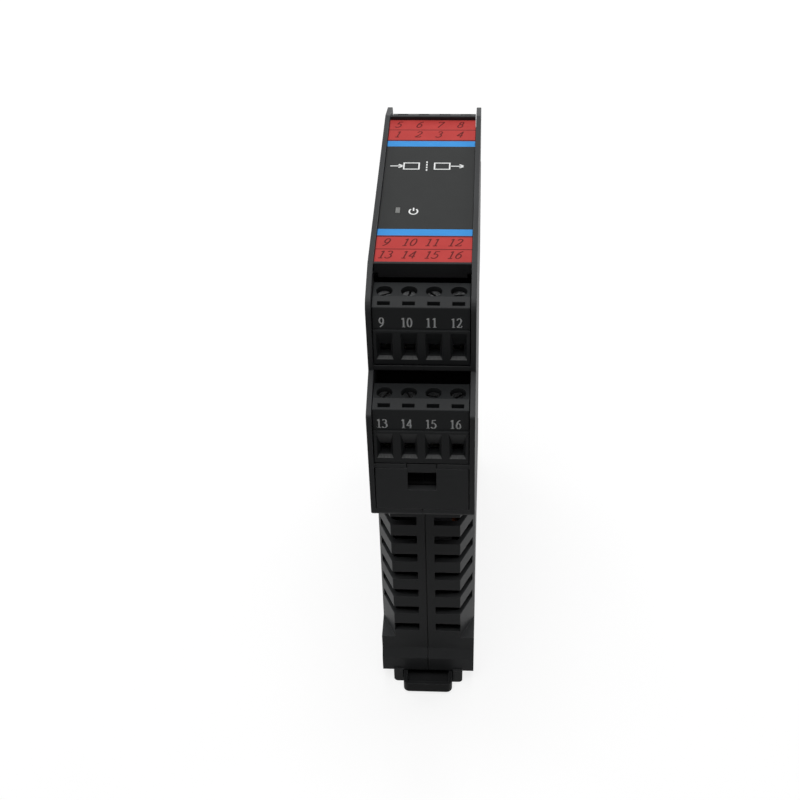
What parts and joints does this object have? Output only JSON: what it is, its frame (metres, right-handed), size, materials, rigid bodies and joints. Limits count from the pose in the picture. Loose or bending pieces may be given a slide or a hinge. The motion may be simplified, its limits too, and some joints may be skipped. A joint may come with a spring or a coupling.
{
  "type": "rail-mounted signal isolator",
  "caption": "Narrow black rail-mounted signal isolator with stepped ends, pull-off screw terminal plugs, a vent grille and a sprung rail latch.",
  "frame": {"origin": "middle of the face that sits on the rail", "axes": "+X across the width, +Y along the wire direction towards the fixed hook, +Z away from the rail"},
  "size_m": [0.0226, 0.0994, 0.1189],
  "materials": {
    "shell": "fine matt texture",
    "cover": "matt",
    "label": "printed film",
    "clear": "clear moulding",
    "plug": "fine matt texture",
    "header": "matt",
    "board": "lacquered laminate",
    "contact_brass": "tinned in part",
    "ferrite": "sintered",
    "winding": "enamelled wire",
    "chip": "moulded",
    "capacitor": "sleeved can",
    "lamp": "moulded",
    "steel": "nickel plated"
  },
  "bodies": {
    "housing": {"left_shell": "shell", "right_shell": "shell", "front_cover": "cover", "front_label": "label", "light_pipe": "clear", "end_plate_near": "shell", "end_plate_far": "shell", "main_board": "board", "header_pins": "contact_brass", "transformer_core": "ferrite", "transformer_coil": "winding", "isolator_chips": "chip", "filter_capacitors": "capacitor", "power_led": "lamp", "latch_spring": "steel", "header_1_4": "header", "header_5_8": "header", "header_9_12": "header", "header_13_16": "header"},
    "rail_latch": {"foot_latch": "shell"},
    "terminal_1_4": {"plug_1_4": "plug", "contacts_1_4": "contact_brass"},
    "terminal_5_8": {"plug_5_8": "plug", "contacts_5_8": "contact_brass"},
    "terminal_9_12": {"plug_9_12": "plug", "contacts_9_12": "contact_brass"},
    "terminal_13_16": {"plug_13_16": "plug", "contacts_13_16": "contact_brass"},
    "screw_1": {"screw_1": "steel"},
    "clamp_1": {"clamp_1": "steel"},
    "screw_2": {"screw_2": "steel"},
    "clamp_2": {"clamp_2": "steel"},
    "screw_3": {"screw_3": "steel"},
    "clamp_3": {"clamp_3": "steel"},
    "screw_4": {"screw_4": "steel"},
    "clamp_4": {"clamp_4": "steel"},
    "screw_5": {"screw_5": "steel"},
    "clamp_5": {"clamp_5": "steel"},
    "screw_6": {"screw_6": "steel"},
    "clamp_6": {"clamp_6": "steel"},
    "screw_7": {"screw_7": "steel"},
    "clamp_7": {"clamp_7": "steel"},
    "screw_8": {"screw_8": "steel"},
    "clamp_8": {"clamp_8": "steel"},
    "screw_9": {"screw_9": "steel"},
    "clamp_9": {"clamp_9": "steel"},
    "screw_10": {"screw_10": "steel"},
    "clamp_10": {"clamp_10": "steel"},
    "screw_11": {"screw_11": "steel"},
    "clamp_11": {"clamp_11": "steel"},
    "screw_12": {"screw_12": "steel"},
    "clamp_12": {"clamp_12": "steel"},
    "screw_13": {"screw_13": "steel"},
    "clamp_13": {"clamp_13": "steel"},
    "screw_14": {"screw_14": "steel"},
    "clamp_14": {"clamp_14": "steel"},
    "screw_15": {"screw_15": "steel"},
    "clamp_15": {"clamp_15": "steel"},
    "screw_16": {"screw_16": "steel"},
    "clamp_16": {"clamp_16": "steel"}
  },
  "joints": [
    {"name": "latch_slide", "type": "slide", "parent": "housing", "child": "rail_latch", "axis": [0, -1, 0], "range_m": [0, 0.0035], "stiffness_N_per_m": 1500, "springref_m": -0.002, "deforming": ["latch_spring"]},
    {"name": "plug_1_4_pull", "type": "slide", "parent": "housing", "child": "terminal_1_4", "axis": [0, 1, 0], "range_m": [0, 0.022]},
    {"name": "plug_5_8_pull", "type": "slide", "parent": "housing", "child": "terminal_5_8", "axis": [0, 1, 0], "range_m": [0, 0.022]},
    {"name": "plug_9_12_pull", "type": "slide", "parent": "housing", "child": "terminal_9_12", "axis": [0, -1, 0], "range_m": [0, 0.022]},
    {"name": "plug_13_16_pull", "type": "slide", "parent": "housing", "child": "terminal_13_16", "axis": [0, -1, 0], "range_m": [0, 0.022]},
    {"name": "screw_1_turn", "type": "hinge", "parent": "terminal_1_4", "child": "screw_1", "pos_m": [-0.00762, 0.0344, 0.1066], "axis": [0, 0, -1], "range_deg": [0, 1440]},
    {"name": "clamp_1_lift", "type": "slide", "parent": "terminal_1_4", "child": "clamp_1", "axis": [0, 0, 1], "range_m": [0, 0.002]},
    {"name": "screw_2_turn", "type": "hinge", "parent": "terminal_1_4", "child": "screw_2", "pos_m": [-0.00254, 0.0344, 0.1066], "axis": [0, 0, -1], "range_deg": [0, 1440]},
    {"name": "clamp_2_lift", "type": "slide", "parent": "terminal_1_4", "child": "clamp_2", "axis": [0, 0, 1], "range_m": [0, 0.002]},
    {"name": "screw_3_turn", "type": "hinge", "parent": "terminal_1_4", "child": "screw_3", "pos_m": [0.00254, 0.0344, 0.1066], "axis": [0, 0, -1], "range_deg": [0, 1440]},
    {"name": "clamp_3_lift", "type": "slide", "parent": "terminal_1_4", "child": "clamp_3", "axis": [0, 0, 1], "range_m": [0, 0.002]},
    {"name": "screw_4_turn", "type": "hinge", "parent": "terminal_1_4", "child": "screw_4", "pos_m": [0.00762, 0.0344, 0.1066], "axis": [0, 0, -1], "range_deg": [0, 1440]},
    {"name": "clamp_4_lift", "type": "slide", "parent": "terminal_1_4", "child": "clamp_4", "axis": [0, 0, 1], "range_m": [0, 0.002]},
    {"name": "screw_5_turn", "type": "hinge", "parent": "terminal_5_8", "child": "screw_5", "pos_m": [-0.00762, 0.044, 0.0876], "axis": [0, 0, -1], "range_deg": [0, 1440]},
    {"name": "clamp_5_lift", "type": "slide", "parent": "terminal_5_8", "child": "clamp_5", "axis": [0, 0, 1], "range_m": [0, 0.002]},
    {"name": "screw_6_turn", "type": "hinge", "parent": "terminal_5_8", "child": "screw_6", "pos_m": [-0.00254, 0.044, 0.0876], "axis": [0, 0, -1], "range_deg": [0, 1440]},
    {"name": "clamp_6_lift", "type": "slide", "parent": "terminal_5_8", "child": "clamp_6", "axis": [0, 0, 1], "range_m": [0, 0.002]},
    {"name": "screw_7_turn", "type": "hinge", "parent": "terminal_5_8", "child": "screw_7", "pos_m": [0.00254, 0.044, 0.0876], "axis": [0, 0, -1], "range_deg": [0, 1440]},
    {"name": "clamp_7_lift", "type": "slide", "parent": "terminal_5_8", "child": "clamp_7", "axis": [0, 0, 1], "range_m": [0, 0.002]},
    {"name": "screw_8_turn", "type": "hinge", "parent": "terminal_5_8", "child": "screw_8", "pos_m": [0.00762, 0.044, 0.0876], "axis": [0, 0, -1], "range_deg": [0, 1440]},
    {"name": "clamp_8_lift", "type": "slide", "parent": "terminal_5_8", "child": "clamp_8", "axis": [0, 0, 1], "range_m": [0, 0.002]},
    {"name": "screw_9_turn", "type": "hinge", "parent": "terminal_9_12", "child": "screw_9", "pos_m": [-0.00762, -0.0344, 0.1066], "axis": [0, 0, -1], "range_deg": [0, 1440]},
    {"name": "clamp_9_lift", "type": "slide", "parent": "terminal_9_12", "child": "clamp_9", "axis": [0, 0, 1], "range_m": [0, 0.002]},
    {"name": "screw_10_turn", "type": "hinge", "parent": "terminal_9_12", "child": "screw_10", "pos_m": [-0.00254, -0.0344, 0.1066], "axis": [0, 0, -1], "range_deg": [0, 1440]},
    {"name": "clamp_10_lift", "type": "slide", "parent": "terminal_9_12", "child": "clamp_10", "axis": [0, 0, 1], "range_m": [0, 0.002]},
    {"name": "screw_11_turn", "type": "hinge", "parent": "terminal_9_12", "child": "screw_11", "pos_m": [0.00254, -0.0344, 0.1066], "axis": [0, 0, -1], "range_deg": [0, 1440]},
    {"name": "clamp_11_lift", "type": "slide", "parent": "terminal_9_12", "child": "clamp_11", "axis": [0, 0, 1], "range_m": [0, 0.002]},
    {"name": "screw_12_turn", "type": "hinge", "parent": "terminal_9_12", "child": "screw_12", "pos_m": [0.00762, -0.0344, 0.1066], "axis": [0, 0, -1], "range_deg": [0, 1440]},
    {"name": "clamp_12_lift", "type": "slide", "parent": "terminal_9_12", "child": "clamp_12", "axis": [0, 0, 1], "range_m": [0, 0.002]},
    {"name": "screw_13_turn", "type": "hinge", "parent": "terminal_13_16", "child": "screw_13", "pos_m": [-0.00762, -0.044, 0.0876], "axis": [0, 0, -1], "range_deg": [0, 1440]},
    {"name": "clamp_13_lift", "type": "slide", "parent": "terminal_13_16", "child": "clamp_13", "axis": [0, 0, 1], "range_m": [0, 0.002]},
    {"name": "screw_14_turn", "type": "hinge", "parent": "terminal_13_16", "child": "screw_14", "pos_m": [-0.00254, -0.044, 0.0876], "axis": [0, 0, -1], "range_deg": [0, 1440]},
    {"name": "clamp_14_lift", "type": "slide", "parent": "terminal_13_16", "child": "clamp_14", "axis": [0, 0, 1], "range_m": [0, 0.002]},
    {"name": "screw_15_turn", "type": "hinge", "parent": "terminal_13_16", "child": "screw_15", "pos_m": [0.00254, -0.044, 0.0876], "axis": [0, 0, -1], "range_deg": [0, 1440]},
    {"name": "clamp_15_lift", "type": "slide", "parent": "terminal_13_16", "child": "clamp_15", "axis": [0, 0, 1], "range_m": [0, 0.002]},
    {"name": "screw_16_turn", "type": "hinge", "parent": "terminal_13_16", "child": "screw_16", "pos_m": [0.00762, -0.044, 0.0876], "axis": [0, 0, -1], "range_deg": [0, 1440]},
    {"name": "clamp_16_lift", "type": "slide", "parent": "terminal_13_16", "child": "clamp_16", "axis": [0, 0, 1], "range_m": [0, 0.002]}
  ],
  "couplings": [
    {"joint": "screw_1_turn", "follows": "clamp_1_lift", "rad_per_m": 12566},
    {"joint": "screw_2_turn", "follows": "clamp_2_lift", "rad_per_m": 12566},
    {"joint": "screw_3_turn", "follows": "clamp_3_lift", "rad_per_m": 12566},
    {"joint": "screw_4_turn", "follows": "clamp_4_lift", "rad_per_m": 12566},
    {"joint": "screw_5_turn", "follows": "clamp_5_lift", "rad_per_m": 12566},
    {"joint": "screw_6_turn", "follows": "clamp_6_lift", "rad_per_m": 12566},
    {"joint": "screw_7_turn", "follows": "clamp_7_lift", "rad_per_m": 12566},
    {"joint": "screw_8_turn", "follows": "clamp_8_lift", "rad_per_m": 12566},
    {"joint": "screw_9_turn", "follows": "clamp_9_lift", "rad_per_m": 12566},
    {"joint": "screw_10_turn", "follows": "clamp_10_lift", "rad_per_m": 12566},
    {"joint": "screw_11_turn", "follows": "clamp_11_lift", "rad_per_m": 12566},
    {"joint": "screw_12_turn", "follows": "clamp_12_lift", "rad_per_m": 12566},
    {"joint": "screw_13_turn", "follows": "clamp_13_lift", "rad_per_m": 12566},
    {"joint": "screw_14_turn", "follows": "clamp_14_lift", "rad_per_m": 12566},
    {"joint": "screw_15_turn", "follows": "clamp_15_lift", "rad_per_m": 12566},
    {"joint": "screw_16_turn", "follows": "clamp_16_lift", "rad_per_m": 12566}
  ]
}
